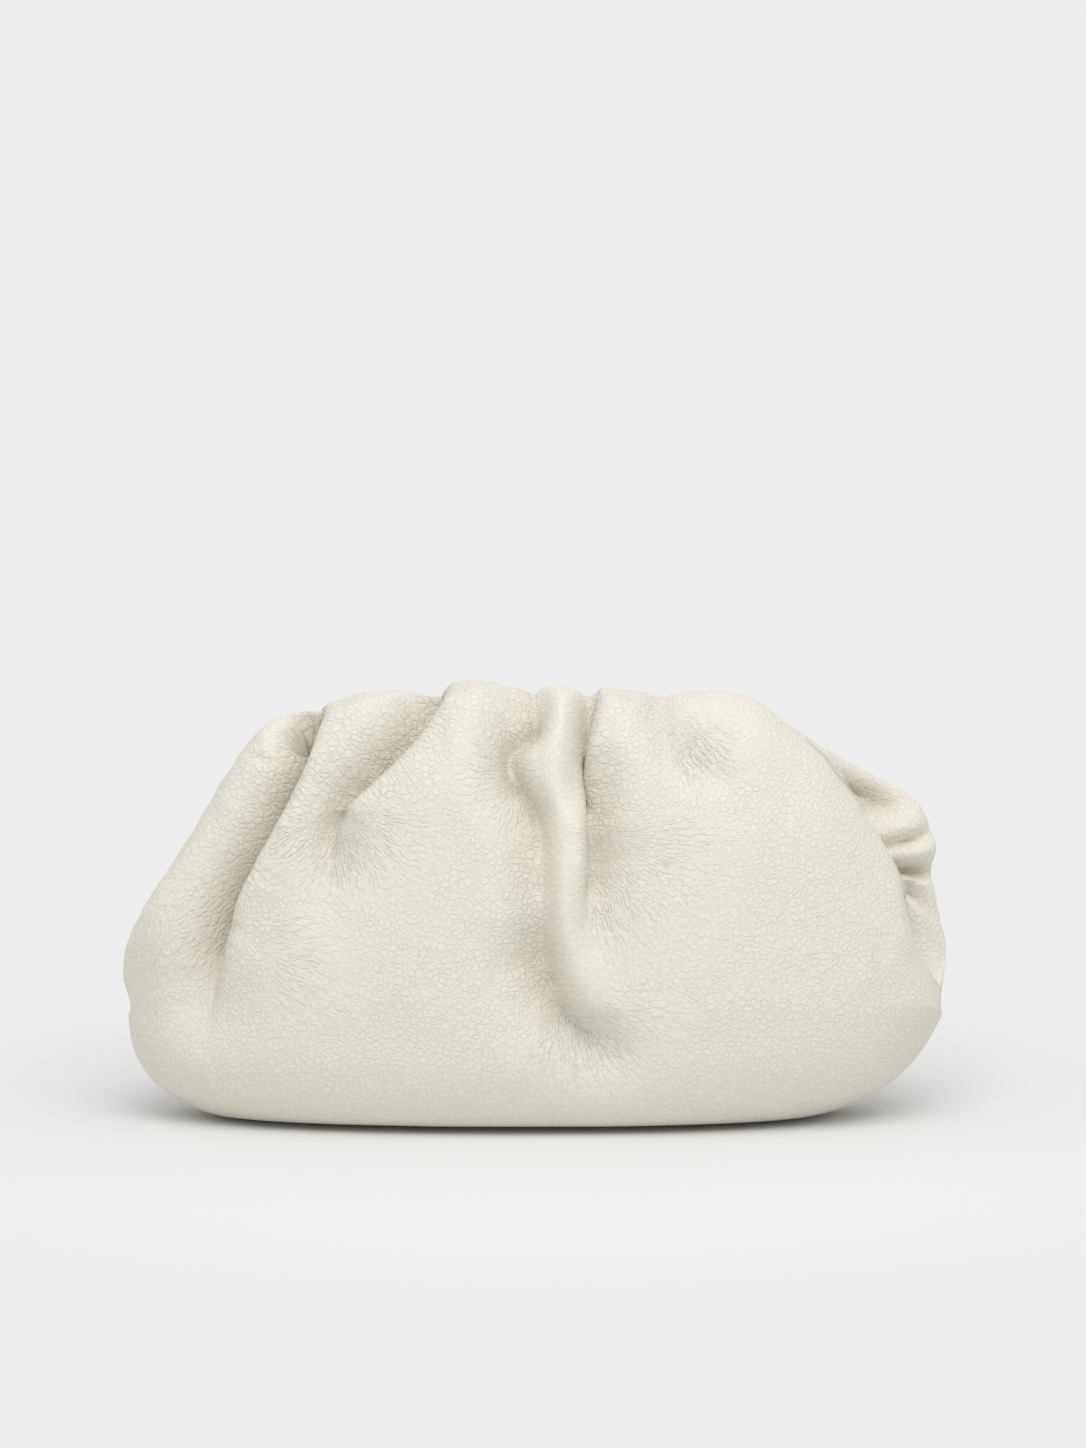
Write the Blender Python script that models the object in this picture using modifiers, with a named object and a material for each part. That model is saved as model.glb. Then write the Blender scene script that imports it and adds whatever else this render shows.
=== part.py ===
"""Gathered clutch bag: one soft leather pouch drawn up onto a hidden, arched closing frame.

The bag stands on its flat bottom, with its width along X, its front towards -Y and +Z up, in metres.
The leather is a single open surface. It starts at the frame, rolls up and over in puffed gathers,
swells to the belly and turns in under the bottom.
"""

import math
from collections import namedtuple

import bpy
import numpy as np

# Sizes that set everything else
BAG_WIDTH = 0.230
BAG_HEIGHT = 0.122
BAG_DEPTH = 0.086
LEATHER_WALL = 0.0015
FRAME_THICKNESS = 0.008
FRAME_BAR_HEIGHT = 0.010
FRAME_CLEARANCE = 0.0003
FRAME_CORNER_RADIUS = 0.020
ROLL_REACH = 0.0085
PLAN_SQUARENESS = 2.4

HALF_WIDTH = BAG_WIDTH / 2
HALF_DEPTH = BAG_DEPTH / 2
RIM_REACH = FRAME_THICKNESS / 2 + FRAME_CLEARANCE

# How the leather surface is divided: columns run round each half of the mouth, rings run down it
COLUMNS_PER_HALF = 54
TUCK_RINGS = 5
FACE_RINGS = 13
UNDER_RINGS = 6
POINTS_PER_SPAN = 16
CORNER_POINTS = 8
DENSE_POINTS = 600
FRAME_SIDES = 10
FRONT = -1.0
BACK = 1.0

# How the rings run at the two ends of the mouth. The spread fans the columns out towards the ends,
# the sag sinks the valley below each foot as a share of its length, the drop lowers the widest line
# there as a share of its height, and the match is how far a crest point stands beside its own place
# on the frame. The swell and its power are how soon the roll reaches its full depth from an end.
END_SPREAD = 0.080
END_SPREAD_START = 0.020
END_SPREAD_REACH = 0.25
VALLEY_SAG = 0.30
END_DROP = 0.25
CREST_MATCH = 0.60
ROLL_SWELL = 1.4
ROLL_POWER = 0.7

# The rounding of the frame's feet: shares of the foot's length, and how full its very tip is
FOOT_STEPS = (0.0, 0.15, 0.4, 0.7, 1.0)
FOOT_TIP = 0.25

# The frame's arch as shares of the half width and of the height, from the left foot to the right
FRAME_ARCH = (
    (-0.880, 0.365),
    (-0.630, 0.850),
    (0.635, 0.850),
    (0.876, 0.480),
)

# The crest of the gathers on each half, as shares of the half width and of the height
FRONT_CREST = (
    (-0.940, 0.300),
    (-0.978, 0.315),
    (-0.997, 0.345),
    (-0.970, 0.392),
    (-0.927, 0.453),
    (-0.866, 0.567),
    (-0.745, 0.760),
    (-0.680, 0.855),
    (-0.632, 0.893),
    (-0.572, 0.884),
    (-0.517, 0.903),
    (-0.457, 0.955),
    (-0.393, 0.981),
    (-0.219, 0.990),
    (-0.105, 1.000),
    (0.070, 0.975),
    (0.190, 0.990),
    (0.300, 0.985),
    (0.484, 0.982),
    (0.544, 0.957),
    (0.628, 0.878),
    (0.772, 0.719),
    (0.862, 0.590),
    (0.888, 0.510),
    (0.905, 0.440),
    (0.935, 0.350),
    (0.965, 0.300),
)
BACK_CREST = (
    (-0.940, 0.300),
    (-0.983, 0.330),
    (-0.944, 0.418),
    (-0.882, 0.525),
    (-0.759, 0.717),
    (-0.690, 0.825),
    (-0.640, 0.895),
    (-0.583, 0.918),
    (-0.500, 0.925),
    (-0.401, 0.955),
    (-0.223, 0.970),
    (0.000, 0.965),
    (0.250, 0.958),
    (0.493, 0.952),
    (0.570, 0.925),
    (0.712, 0.833),
    (0.870, 0.752),
    (0.944, 0.690),
    (0.972, 0.610),
    (0.966, 0.530),
    (0.988, 0.440),
    (1.002, 0.360),
    (0.955, 0.300),
)

# Level rings from the widest line down to the flat bottom. Rise is a share of the height, left and
# right are shares of the half width, and depth is a share of the half depth.
LevelRing = namedtuple("LevelRing", "rise left right depth")
LOWER_BODY = (
    LevelRing(0.300, 0.980, 0.990, 0.985),
    LevelRing(0.235, 0.976, 0.962, 0.975),
    LevelRing(0.165, 0.957, 0.922, 0.955),
    LevelRing(0.095, 0.915, 0.865, 0.885),
    LevelRing(0.040, 0.850, 0.785, 0.790),
    LevelRing(0.012, 0.795, 0.710, 0.700),
    LevelRing(0.000, 0.720, 0.630, 0.590),
)

# Folds seen from straight in front. Depth is a share of the bag's depth, negative where the leather
# stands out. Reach is how far the fold spreads to each side, as a share of the bag's width. Fade is
# the share of the route over which the fold dies away at its lower end.
Fold = namedtuple("Fold", "name depth left_reach right_reach fade route")
FRONT_FOLDS = (
    Fold("left_hollow", 0.100, 0.040, 0.026, 0.35,
         ((-0.575, 0.920), (-0.560, 0.813), (-0.616, 0.693), (-0.690, 0.560),
          (-0.722, 0.403), (-0.761, 0.300), (-0.735, 0.178))),
    Fold("second_hollow", 0.090, 0.040, 0.026, 0.55,
         ((-0.215, 1.005), (-0.255, 0.915), (-0.375, 0.790), (-0.440, 0.690),
          (-0.474, 0.586), (-0.486, 0.440))),
    Fold("pinch", 0.070, 0.032, 0.020, 0.40,
         ((-0.016, 1.010), (-0.022, 0.930), (-0.075, 0.850), (-0.040, 0.760),
          (0.000, 0.640), (0.012, 0.480), (0.040, 0.345), (0.140, 0.225), (0.266, 0.177))),
    Fold("narrow_tube", -0.040, 0.019, 0.019, 0.35,
         ((0.066, 1.010), (0.064, 0.868), (0.078, 0.740), (0.072, 0.600),
          (0.066, 0.457), (0.110, 0.346), (0.190, 0.262))),
    Fold("deep_crease", 0.100, 0.016, 0.030, 0.50,
         ((0.155, 1.010), (0.140, 0.900), (0.133, 0.780), (0.138, 0.640),
          (0.143, 0.500), (0.170, 0.380), (0.260, 0.280))),
    Fold("knot_crease", 0.035, 0.030, 0.030, 0.60,
         ((0.300, 1.010), (0.290, 0.940), (0.345, 0.880), (0.450, 0.790), (0.525, 0.680))),
)
BACK_FOLDS = (
    Fold("back_left", 0.070, 0.034, 0.024, 0.50,
         ((-0.600, 0.960), (-0.620, 0.800), (-0.700, 0.600), (-0.760, 0.380))),
    Fold("back_slant", 0.085, 0.026, 0.036, 0.50,
         ((-0.330, 1.010), (-0.310, 0.860), (-0.390, 0.680), (-0.500, 0.470), (-0.540, 0.330))),
    Fold("back_middle", 0.090, 0.032, 0.024, 0.45,
         ((-0.060, 1.010), (-0.080, 0.860), (-0.060, 0.660), (-0.090, 0.450), (-0.160, 0.270))),
    Fold("back_tube", -0.030, 0.022, 0.022, 0.40,
         ((0.040, 1.010), (0.030, 0.840), (0.045, 0.640), (0.020, 0.450))),
    Fold("back_deep", 0.085, 0.022, 0.034, 0.50,
         ((0.160, 1.010), (0.150, 0.860), (0.190, 0.660), (0.260, 0.460), (0.350, 0.300))),
    Fold("back_right", 0.055, 0.032, 0.032, 0.55,
         ((0.450, 1.000), (0.440, 0.880), (0.520, 0.720), (0.640, 0.520))),
    Fold("right_upper_lobe", 0.045, 0.022, 0.024, 0.40,
         ((0.800, 0.635), (0.880, 0.640), (0.960, 0.650), (1.040, 0.640))),
    Fold("right_lower_lobe", 0.032, 0.020, 0.020, 0.40,
         ((0.900, 0.510), (0.960, 0.517), (1.040, 0.515))),
)

# How closely the columns stand along each half of the mouth
Crowding = namedtuple("Crowding", "along density")
COLUMN_CROWDING = (
    Crowding(0.00, 1.9),
    Crowding(0.05, 1.2),
    Crowding(0.20, 0.9),
    Crowding(0.42, 1.3),
    Crowding(0.60, 1.3),
    Crowding(0.70, 0.8),
    Crowding(0.88, 1.5),
    Crowding(1.00, 2.8),
)


def in_metres(shares):
    """Turns shares of the half width and height into places seen from straight in front."""
    return np.array(shares) * (HALF_WIDTH, BAG_HEIGHT)


def smooth_curve(points):
    """A dense Catmull-Rom curve through the points."""
    inner = np.asarray(points, dtype=float)
    first = 2 * inner[0] - inner[1]
    last = 2 * inner[-1] - inner[-2]
    padded = np.vstack([first, inner, last])
    t = np.arange(POINTS_PER_SPAN)[:, None] / POINTS_PER_SPAN
    spans = []
    for a, b, c, d in zip(padded, padded[1:], padded[2:], padded[3:]):
        cubic = -a + 3 * b - 3 * c + d
        square = 2 * a - 5 * b + 4 * c - d
        spans.append(b + 0.5 * ((c - a) * t + square * t**2 + cubic * t**3))
    return np.vstack(spans + [inner[-1:]])


def lengths_along(line):
    """How far along a line each of its points stands."""
    steps = np.linalg.norm(np.diff(line, axis=0), axis=1)
    return np.concatenate([[0.0], np.cumsum(steps)])


def at_shares(curve, shares):
    """Points of a dense curve at the given shares of its length."""
    travelled = lengths_along(curve)
    wanted = np.asarray(shares) * travelled[-1]
    return np.column_stack([np.interp(wanted, travelled, axis) for axis in curve.T])


def frame_line():
    """The frame's centre line seen from in front: straight runs with rounded corners."""
    corners = in_metres(FRAME_ARCH)
    line = [corners[0]]
    for before, corner, after in zip(corners, corners[1:], corners[2:]):
        way_in = (before - corner) / np.linalg.norm(before - corner)
        way_out = (after - corner) / np.linalg.norm(after - corner)
        half_angle = math.acos(float(way_in @ way_out)) / 2
        middle = (way_in + way_out) / np.linalg.norm(way_in + way_out)
        centre = corner + middle * FRAME_CORNER_RADIUS / math.sin(half_angle)
        reach = FRAME_CORNER_RADIUS / math.tan(half_angle)
        start = corner + way_in * reach - centre
        finish = corner + way_out * reach - centre
        turn = math.pi - 2 * half_angle
        for share in np.linspace(0.0, 1.0, CORNER_POINTS):
            weights = math.sin((1 - share) * turn), math.sin(share * turn)
            line.append(centre + (start * weights[0] + finish * weights[1]) / math.sin(turn))
    line.append(corners[-1])
    return np.array(line)


def rim_line():
    """The frame's line carried on past both feet, so that the leather's rim passes round them."""
    line = frame_line()
    left = line[0] - line[1]
    right = line[-1] - line[-2]
    left_end = line[0] + left / np.linalg.norm(left) * RIM_REACH
    right_end = line[-1] + right / np.linalg.norm(right) * RIM_REACH
    return np.vstack([left_end, line, right_end])


def plan_half(left, right, depth):
    """Half of a level ring seen from above, a squared oval, from its left end to its right end."""
    angles = np.linspace(0.0, math.pi, DENSE_POINTS)
    power = 2 / PLAN_SQUARENESS
    across = -np.sign(np.cos(angles)) * np.abs(np.cos(angles)) ** power
    reach = np.where(across < 0, left, right)
    return np.column_stack([across * reach, depth * np.sin(angles) ** power])


def column_shares():
    """Where the columns stand along each half of the mouth, as shares from left to right."""
    fine = np.linspace(0.0, 1.0, DENSE_POINTS)
    density = np.interp(fine, [row.along for row in COLUMN_CROWDING],
                        [row.density for row in COLUMN_CROWDING])
    total = np.concatenate([[0.0], np.cumsum((density[1:] + density[:-1]) / 2)])
    return np.interp(np.linspace(0.0, total[-1], COLUMNS_PER_HALF + 1), total, fine)


def beside_rim(crest, rim, columns):
    """Crest points for the columns, each standing mostly beside its own place on the rim."""
    own = lengths_along(crest) / lengths_along(crest)[-1]
    places = at_shares(rim, np.linspace(0.0, 1.0, DENSE_POINTS))
    apart = np.linalg.norm(crest[:, None, :] - places[None, :, :], axis=2)
    nearest = np.maximum.accumulate(apart.argmin(axis=1)) / (len(places) - 1)
    matched = CREST_MATCH * nearest + (1 - CREST_MATCH) * own
    matched = (matched - matched[0]) / (matched[-1] - matched[0])
    return np.column_stack([np.interp(columns, matched, axis) for axis in crest.T])


def spread_ends(columns):
    """Column shares below the crest, fanned out towards both ends of the mouth."""
    from_end = np.minimum(columns, 1.0 - columns)
    rise = 1.0 - np.exp(-from_end / END_SPREAD_START)
    fall = np.clip(1.0 - from_end / END_SPREAD_REACH, 0.0, 1.0) ** 2
    return columns + np.sign(0.5 - columns) * END_SPREAD * rise * fall


def level_ring(level, columns):
    """One level ring of a half: places seen from above, and how full the ring is at each."""
    plan = at_shares(plan_half(level.left * HALF_WIDTH, level.right * HALF_WIDTH,
                               level.depth * HALF_DEPTH), spread_ends(columns))
    fullness = np.clip(plan[:, 1] / (level.depth * HALF_DEPTH), 0.0, 1.0)
    height = max(level.rise, 0.0) * BAG_HEIGHT * (1.0 - END_DROP * (1.0 - fullness) ** 2)
    return plan, height, fullness


def half_surface(side, crest_shares, columns):
    """One half of the bag before its folds, as rings of points from the rim to the bottom."""
    line = rim_line()
    rim = at_shares(line, columns)
    from_end = np.minimum(columns, 1.0 - columns) * lengths_along(line)[-1]
    round_foot = np.minimum(1.0, from_end / RIM_REACH)
    rim_depth = RIM_REACH * np.sqrt(1.0 - (1.0 - round_foot) ** 2)
    crest = beside_rim(smooth_curve(in_metres(crest_shares)), line, columns)
    belly, belly_height, fullness = level_ring(LOWER_BODY[0], columns)
    crest_depth = rim_depth + ROLL_REACH * np.minimum(1.0, ROLL_SWELL * fullness) ** ROLL_POWER
    centre = np.array([0.0, LOWER_BODY[0].rise * BAG_HEIGHT])
    inward = centre - rim
    inward /= np.linalg.norm(inward, axis=1)[:, None]
    valley = np.linalg.norm(crest - rim, axis=1) * VALLEY_SAG * (1.0 - fullness) ** 2
    target = np.column_stack([belly[:, 0], belly_height])
    rings = []
    for share in np.linspace(0.0, 1.0, TUCK_RINGS, endpoint=False):
        angle = share * math.pi / 2
        seen = rim + (crest - rim) * math.sin(angle)
        seen = seen + inward * (valley * math.sin(2 * angle))[:, None]
        depth = rim_depth + (crest_depth - rim_depth) * (1 - math.cos(angle))
        rings.append(np.column_stack([seen[:, 0], side * depth, seen[:, 1]]))
    for share in np.linspace(0.0, 1.0, FACE_RINGS, endpoint=False):
        angle = share * math.pi / 2
        seen = crest + (target - crest) * (1 - math.cos(angle))
        depth = crest_depth + (belly[:, 1] - crest_depth) * math.sin(angle)
        rings.append(np.column_stack([seen[:, 0], side * depth, seen[:, 1]]))
    for row in at_shares(smooth_curve(np.array(LOWER_BODY)), np.linspace(0.0, 1.0, UNDER_RINGS + 1)):
        plan, height, _ = level_ring(LevelRing(*row), columns)
        rings.append(np.column_stack([plan[:, 0], side * plan[:, 1], height]))
    return np.array(rings)


def fold_depth(fold, places):
    """How far one fold pushes the leather in at places seen from in front."""
    route = smooth_curve(in_metres(fold.route))
    starts = route[:-1]
    runs = np.diff(route, axis=0)
    lengths = np.linalg.norm(runs, axis=1)
    away = places[:, None, :] - starts[None, :, :]
    along = np.clip((away * runs).sum(axis=2) / lengths**2, 0.0, 1.0)
    offsets = away - along[:, :, None] * runs
    distances = np.linalg.norm(offsets, axis=2)
    nearest = distances.argmin(axis=1)
    rows = np.arange(len(places))
    distance = distances[rows, nearest]
    turned = runs[nearest, 0] * away[rows, nearest, 1] - runs[nearest, 1] * away[rows, nearest, 0]
    reach = np.where(turned > 0, fold.right_reach, fold.left_reach) * BAG_WIDTH
    travelled = np.concatenate([[0.0], np.cumsum(lengths)])
    share = (travelled[nearest] + along[rows, nearest] * lengths[nearest]) / travelled[-1]
    fading = np.clip((1.0 - share) / fold.fade, 0.0, 1.0)
    strength = fading * fading * (3 - 2 * fading)
    return fold.depth * BAG_DEPTH * strength * np.exp(-((distance / reach) ** 2))


def leather_rings():
    """All rings of the folded leather, each one a closed loop of points round the mouth.

    The second result is how far the bag is moved to stand with its box centred on the origin.
    """
    columns = column_shares()
    front = half_surface(FRONT, FRONT_CREST, columns)
    back = half_surface(BACK, BACK_CREST, columns)
    rings = np.concatenate([front, back[:, -2:0:-1]], axis=1)
    around = np.roll(rings, -1, axis=1) - np.roll(rings, 1, axis=1)
    down = np.gradient(rings, axis=0)
    outward = np.cross(down, around)
    outward /= np.linalg.norm(outward, axis=2)[:, :, None]
    outward[:TUCK_RINGS] = outward[TUCK_RINGS]
    ring_count, column_count, _ = rings.shape
    tuck_fade = np.ones(ring_count)
    tuck_fade[:TUCK_RINGS] = np.sin(np.arange(TUCK_RINGS) / TUCK_RINGS * math.pi / 2) ** 2
    bottom_fade = np.clip(rings[:, :, 2] / (LOWER_BODY[2].rise * BAG_HEIGHT), 0.0, 1.0)
    push = np.zeros((ring_count, column_count))
    halves = ((slice(0, COLUMNS_PER_HALF + 1), FRONT_FOLDS),
              (slice(COLUMNS_PER_HALF + 1, column_count), BACK_FOLDS))
    for span, folds in halves:
        places = rings[:, span][:, :, (0, 2)].reshape(-1, 2)
        for fold in folds:
            push[:, span] += fold_depth(fold, places).reshape(ring_count, -1)
    push *= tuck_fade[:, None] * bottom_fade
    folded = rings - outward * push[:, :, None]
    middle = (folded.min(axis=(0, 1)) + folded.max(axis=(0, 1))) / 2
    shift = np.array([-middle[0], -middle[1], 0.0])
    return folded + shift, shift


def leather_material():
    material = bpy.data.materials.new("ivory_leather")
    material.use_nodes = True
    shader = material.node_tree.nodes["Principled BSDF"]
    shader.inputs["Base Color"].default_value = (0.80, 0.77, 0.68, 1.0)
    shader.inputs["Roughness"].default_value = 0.55
    shader.inputs["Metallic"].default_value = 0.0
    return material


def frame_material():
    material = bpy.data.materials.new("smooth_leather")
    material.use_nodes = True
    shader = material.node_tree.nodes["Principled BSDF"]
    shader.inputs["Base Color"].default_value = (0.66, 0.63, 0.55, 1.0)
    shader.inputs["Roughness"].default_value = 0.45
    shader.inputs["Metallic"].default_value = 0.0
    return material


def make_leather_body(collection, rings):
    """The pouch: rings of leather joined into one surface, flat underneath, then given its wall."""
    ring_count, column_count, _ = rings.shape
    faces = []
    for ring in range(ring_count - 1):
        for column in range(column_count):
            beside = (column + 1) % column_count
            upper = ring * column_count
            lower = upper + column_count
            faces.append((upper + column, lower + column, lower + beside, upper + beside))
    bottom = (ring_count - 1) * column_count
    for column in range(COLUMNS_PER_HALF):
        across = (column_count - column) % column_count
        face = [bottom + column, bottom + across,
                bottom + (across - 1) % column_count, bottom + column + 1]
        faces.append(tuple(dict.fromkeys(face)))
    mesh = bpy.data.meshes.new("leather_body")
    mesh.from_pydata(rings.reshape(-1, 3).tolist(), [], faces)
    mesh.materials.append(leather_material())
    mesh.shade_smooth()
    body = bpy.data.objects.new("leather_body", mesh)
    wall = body.modifiers.new("leather_wall", "SOLIDIFY")
    wall.thickness = LEATHER_WALL
    wall.offset = -1.0
    collection.objects.link(body)


def make_frame_section(collection):
    """The oval section of the frame, a guide that the frame's curve follows."""
    curve = bpy.data.curves.new("frame_section", "CURVE")
    curve.dimensions = "2D"
    curve.fill_mode = "NONE"
    spline = curve.splines.new("POLY")
    spline.points.add(FRAME_SIDES - 1)
    spline.use_cyclic_u = True
    for number, point in enumerate(spline.points):
        angle = -2 * math.pi * number / FRAME_SIDES
        point.co = (FRAME_BAR_HEIGHT / 2 * math.cos(angle), FRAME_THICKNESS / 2 * math.sin(angle),
                    0.0, 1.0)
    section = bpy.data.objects.new("frame_section", curve)
    section.hide_render = True
    section.display_type = "WIRE"
    collection.objects.link(section)
    return section


def make_closure_frame(collection, section, shift):
    """The closing frame: one arched bar in smooth leather, with rounded feet."""
    line = frame_line()
    foot_length = FRAME_BAR_HEIGHT / 2
    length = lengths_along(line)[-1]
    foot = [(step * foot_length / length, max(FOOT_TIP, math.sqrt(1 - (1 - step) ** 2)))
            for step in FOOT_STEPS]
    arch = [(share, 1.0) for share in lengths_along(line)[1:-1] / length]
    other_foot = [(1.0 - share, fullness) for share, fullness in reversed(foot)]
    stations = foot + arch + other_foot
    curve = bpy.data.curves.new("closure_frame", "CURVE")
    curve.dimensions = "2D"
    curve.fill_mode = "NONE"
    curve.bevel_mode = "OBJECT"
    curve.bevel_object = section
    curve.use_fill_caps = True
    spline = curve.splines.new("POLY")
    spline.points.add(len(stations) - 1)
    places = at_shares(line, [share for share, _ in stations])
    for point, place, (_, fullness) in zip(spline.points, places, stations):
        point.co = (place[0], place[1], 0.0, 1.0)
        point.radius = fullness
    curve.materials.append(frame_material())
    frame = bpy.data.objects.new("closure_frame", curve)
    frame.rotation_euler = (math.pi / 2, 0.0, 0.0)
    frame.location = tuple(shift)
    collection.objects.link(frame)


for old_object in list(bpy.data.objects):
    bpy.data.objects.remove(old_object, do_unlink=True)
bag = bpy.data.collections.new("clutch_bag")
guides = bpy.data.collections.new("guides")
bpy.context.scene.collection.children.link(bag)
bpy.context.scene.collection.children.link(guides)
leather, bag_shift = leather_rings()
make_leather_body(bag, leather)
make_closure_frame(bag, make_frame_section(guides), bag_shift)
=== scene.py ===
"""The looks of a gathered leather clutch bag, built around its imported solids.

Lengths are in metres, with the width along X, the front towards -Y and +Z up.
"""

import math
from collections import namedtuple

import bpy
import numpy as np
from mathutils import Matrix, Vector


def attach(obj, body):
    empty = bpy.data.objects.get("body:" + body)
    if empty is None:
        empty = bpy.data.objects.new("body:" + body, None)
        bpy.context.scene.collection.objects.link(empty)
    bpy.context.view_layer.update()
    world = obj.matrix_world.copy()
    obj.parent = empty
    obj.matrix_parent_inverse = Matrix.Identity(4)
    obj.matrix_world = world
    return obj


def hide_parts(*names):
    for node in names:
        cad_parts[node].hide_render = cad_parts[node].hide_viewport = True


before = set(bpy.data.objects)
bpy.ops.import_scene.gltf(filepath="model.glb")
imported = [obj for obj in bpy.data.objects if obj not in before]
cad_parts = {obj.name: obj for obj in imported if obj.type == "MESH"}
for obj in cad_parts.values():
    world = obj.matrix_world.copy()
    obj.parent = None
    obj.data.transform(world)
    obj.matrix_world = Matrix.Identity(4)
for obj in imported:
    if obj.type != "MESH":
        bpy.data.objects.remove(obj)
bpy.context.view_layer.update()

# The leather pouch, which is nearly the whole bag. The real one is a single soft hide fastened to an arched
# frame. It rolls up and over the frame in puffed gathers, swells to the belly and turns in under a flat
# bottom. First comes its form without the gathers.
BAG_WIDTH = 0.230
BAG_HEIGHT = 0.122
BAG_DEPTH = 0.086
HALF_WIDTH = BAG_WIDTH / 2
HALF_DEPTH = BAG_DEPTH / 2
PLAN_SQUARENESS = 2.4
FRAME_CORNER_RADIUS = 0.020

# How far the leather's edge stands off the frame's middle line, how far it passes below the frame's feet, and
# how far the gathers roll out from that edge
RIM_REACH = 0.0043
PAST_FOOT = 0.0012
ROLL_REACH = 0.0085

# How finely the pouch is divided. Columns run round the mouth, and rows run from the mouth to the bottom:
# the tuck that rises beside the frame, then the face, then the turn in under the bottom.
FRONT_COLUMNS = 410
BACK_COLUMNS = 190
TUCK_ROWS = 20
FACE_ROWS = 116
UNDER_ROWS = 26
POINTS_PER_SPAN = 12
CORNER_POINTS = 24
NORMAL_SPREAD = 12
DENSE_POINTS = 900
FRONT = -1.0
BACK = 1.0

# How the columns below the crest fan out towards both ends of the mouth, in shares of the mouth
END_SPREAD = 0.080
END_SPREAD_START = 0.020
END_SPREAD_REACH = 0.25

# How the form eases at both ends: the tuck sags, the belly's upper edge drops and the roll thins. The match
# says how far a crest point keeps beside its own place on the frame.
VALLEY_SAG = 0.25
END_DROP = 0.25
ROLL_SWELL = 1.4
ROLL_POWER = 0.7
CREST_MATCH = 0.60

# The frame's corners and the crests of the gathers, from the left end to the right. Each pair is a share of
# the half width and a share of the height.
FRAME_ARCH = ((-0.880, 0.365), (-0.630, 0.850), (0.635, 0.850), (0.876, 0.480))
FRONT_CREST = (
    (-0.920, 0.284), (-0.956, 0.288), (-0.978, 0.304), (-0.986, 0.330), (-0.981, 0.362),
    (-0.968, 0.404), (-0.930, 0.462),
    (-0.866, 0.567), (-0.745, 0.760), (-0.680, 0.855), (-0.632, 0.912), (-0.575, 0.938),
    (-0.517, 0.944), (-0.457, 0.962), (-0.393, 0.981), (-0.300, 0.985), (-0.231, 0.975),
    (-0.195, 0.996), (-0.152, 1.009), (-0.112, 1.005), (-0.064, 0.995), (-0.020, 0.990),
    (0.004, 0.978), (0.020, 0.992), (0.050, 0.998), (0.085, 0.995), (0.108, 0.986),
    (0.132, 0.972), (0.155, 0.982),
    (0.185, 0.991), (0.230, 0.986), (0.270, 0.982), (0.303, 0.970), (0.340, 0.979),
    (0.400, 0.984), (0.458, 0.984), (0.496, 0.976), (0.544, 0.958), (0.628, 0.893),
    (0.700, 0.826), (0.772, 0.736), (0.832, 0.650), (0.874, 0.578), (0.890, 0.510),
    (0.908, 0.430), (0.938, 0.365), (0.965, 0.320), (0.984, 0.292),
)
BACK_CREST = (
    (-0.920, 0.284), (-0.960, 0.300), (-0.974, 0.332), (-0.958, 0.378), (-0.882, 0.510),
    (-0.759, 0.695),
    (-0.690, 0.800), (-0.640, 0.862), (-0.583, 0.886), (-0.500, 0.898), (-0.401, 0.922),
    (-0.223, 0.938), (0.000, 0.936), (0.250, 0.934), (0.493, 0.930), (0.570, 0.910),
    (0.712, 0.833), (0.870, 0.752), (0.944, 0.690), (0.972, 0.610), (0.966, 0.530),
    (0.988, 0.440), (1.000, 0.385), (0.998, 0.335), (0.984, 0.292),
)

# The pouch's level rings from the belly down. Rises are shares of the height, left and right ones of the half
# width, and depths of the half depth.
LevelRing = namedtuple("LevelRing", "rise left right depth")
LOWER_BODY = (
    LevelRing(0.300, 0.980, 0.990, 0.985),
    LevelRing(0.235, 0.976, 0.962, 0.975),
    LevelRing(0.165, 0.957, 0.922, 0.955),
    LevelRing(0.095, 0.915, 0.865, 0.885),
    LevelRing(0.044, 0.850, 0.785, 0.800),
    LevelRing(0.020, 0.805, 0.725, 0.715),
    LevelRing(0.007, 0.765, 0.680, 0.520),
    LevelRing(0.000, 0.690, 0.600, 0.350),
)

# Where the columns stand closer together, as shares of the mouth from left to right
Crowding = namedtuple("Crowding", "along density")
COLUMN_CROWDING = (
    Crowding(0.00, 1.4), Crowding(0.05, 1.1), Crowding(0.20, 0.9), Crowding(0.42, 1.2),
    Crowding(0.60, 1.2), Crowding(0.70, 0.9), Crowding(0.88, 1.2), Crowding(1.00, 1.8),
)


def in_metres(shares):
    """Turns shares of the half width and height into places seen from straight in front."""
    return np.array(shares) * (HALF_WIDTH, BAG_HEIGHT)


def smooth_curve(points):
    """A dense Catmull-Rom curve through the points."""
    inner = np.asarray(points, dtype=float)
    padded = np.vstack([2 * inner[0] - inner[1], inner, 2 * inner[-1] - inner[-2]])
    t = np.arange(POINTS_PER_SPAN)[:, None] / POINTS_PER_SPAN
    spans = []
    for a, b, c, d in zip(padded, padded[1:], padded[2:], padded[3:]):
        cubic = -a + 3 * b - 3 * c + d
        square = 2 * a - 5 * b + 4 * c - d
        spans.append(b + 0.5 * ((c - a) * t + square * t**2 + cubic * t**3))
    return np.vstack(spans + [inner[-1:]])


def lengths_along(line):
    """How far along a line each of its points lies."""
    steps = np.linalg.norm(np.diff(line, axis=0), axis=1)
    return np.concatenate([[0.0], np.cumsum(steps)])


def at_shares(curve, shares):
    """Points of a dense curve at the given shares of its length."""
    travelled = lengths_along(curve)
    wanted = np.asarray(shares) * travelled[-1]
    return np.column_stack([np.interp(wanted, travelled, axis) for axis in curve.T])


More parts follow.
